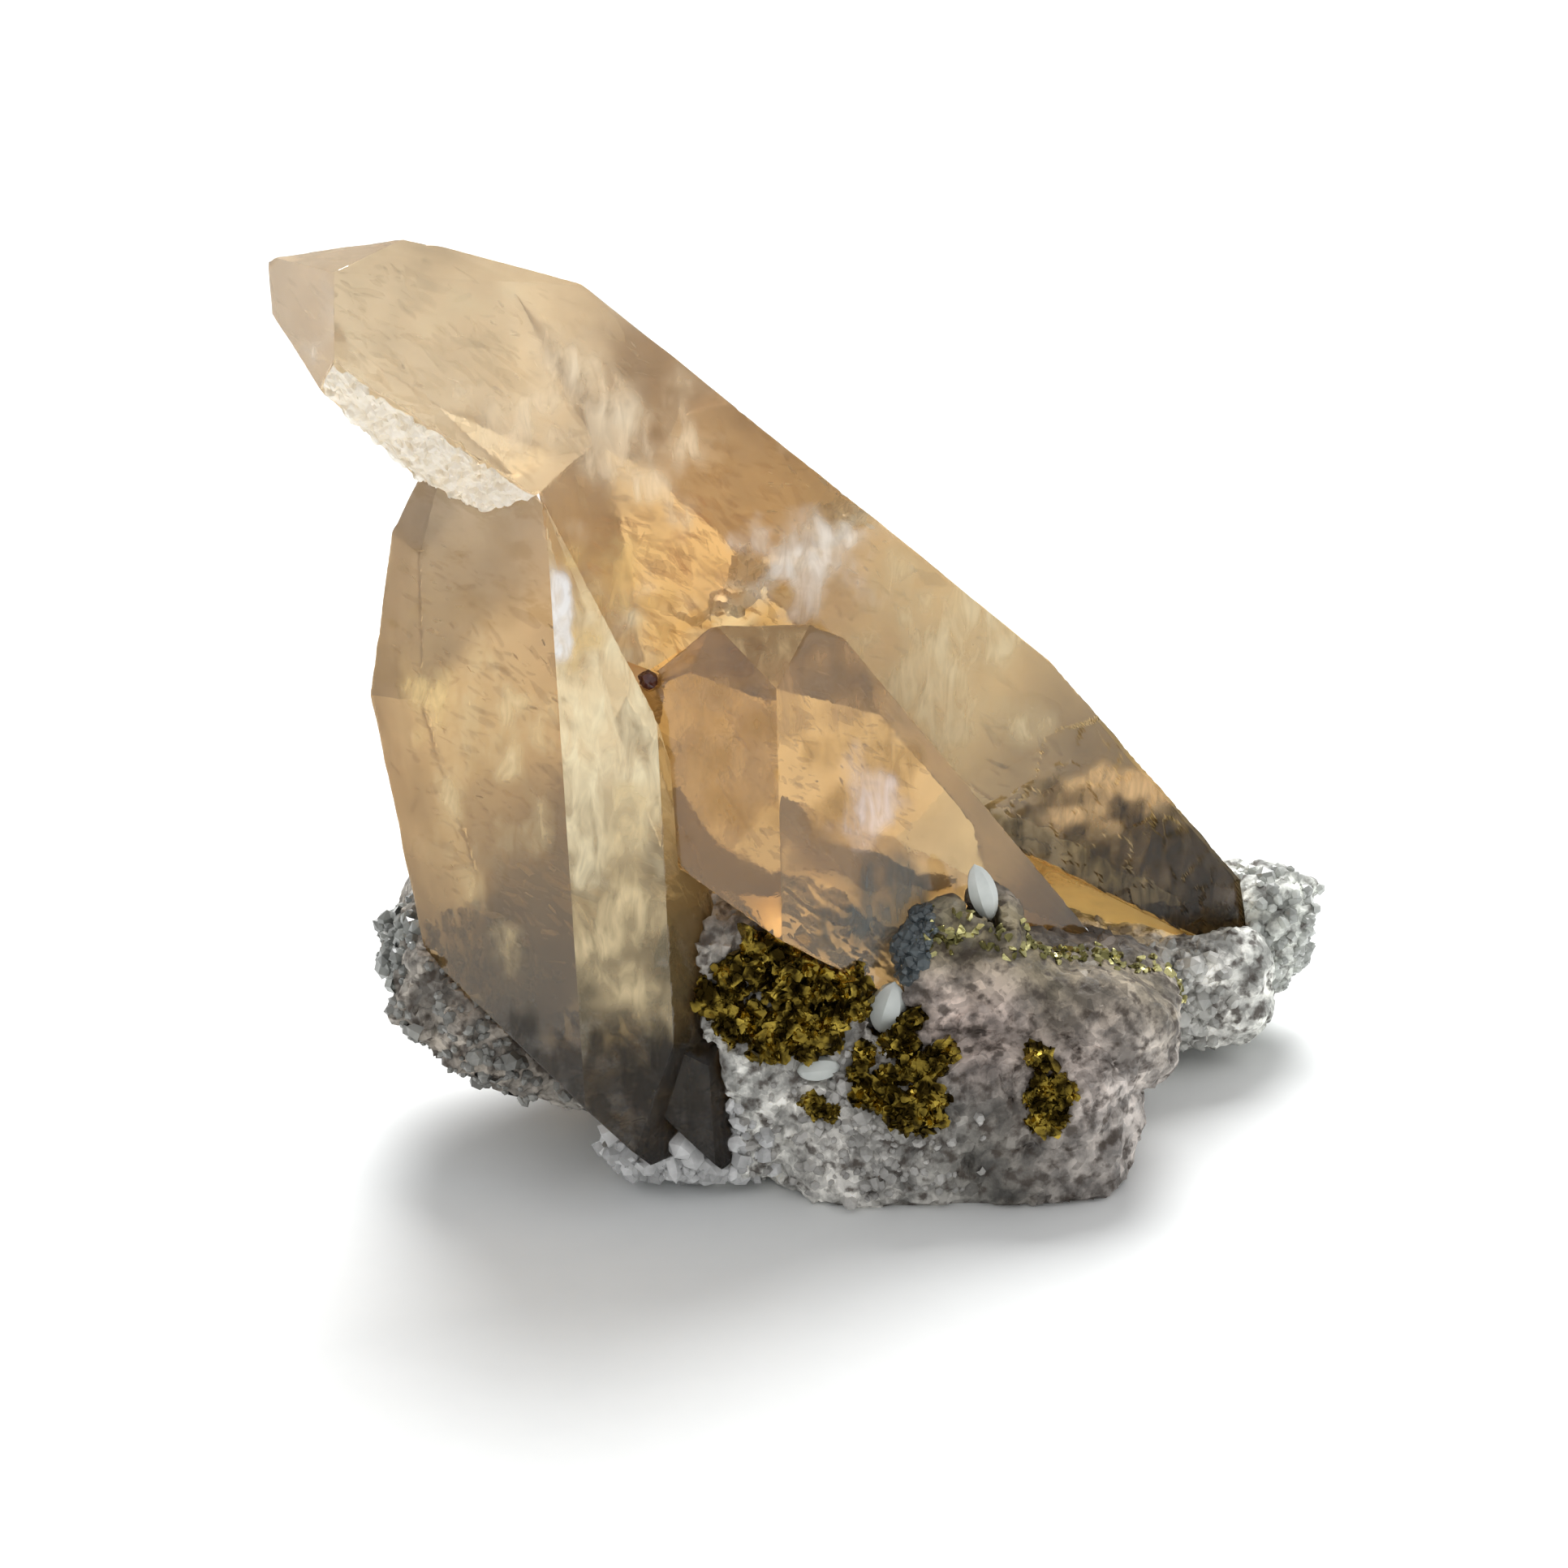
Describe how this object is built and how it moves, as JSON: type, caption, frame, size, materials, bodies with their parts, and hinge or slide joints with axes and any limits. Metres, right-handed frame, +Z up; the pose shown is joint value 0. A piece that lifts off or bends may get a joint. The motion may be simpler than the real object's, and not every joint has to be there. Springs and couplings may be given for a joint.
{
  "type": "calcite specimen",
  "caption": "Honey-coloured clear calcite crystals leaning together on a lump of grey host rock with brassy chalcopyrite crusts and small white crystals, resting on a flat underside.",
  "frame": {"origin": "on the flat underside of the rock, under the specimen's centre of weight", "axes": "+Z up from the surface that it rests on, -Y towards the front with the chalcopyrite, +X to the right as seen from the front; the large crystal leans towards -X"},
  "size_m": [0.0836, 0.0463, 0.0734],
  "materials": {
    "honey_calcite": "clear honey-coloured crystal with smooth growth faces and milky veils",
    "host_rock": "rough grey and pinkish granular rock",
    "chalcopyrite": "small sharp brassy metallic crystals, partly tarnished",
    "white_spar": "translucent white crystal",
    "sphalerite": "dark red-brown resinous grain"
  },
  "bodies": {
    "root": {"calcite_crystals": "honey_calcite", "host_rock": "host_rock", "chalcopyrite_upper": "chalcopyrite", "chalcopyrite_lower": "chalcopyrite", "chalcopyrite_right": "chalcopyrite", "chalcopyrite_small": "chalcopyrite", "white_crystal_front": "white_spar", "white_crystal_upper": "white_spar", "white_crystal_small": "white_spar", "sphalerite_grain": "sphalerite"}
  },
  "joints": []
}
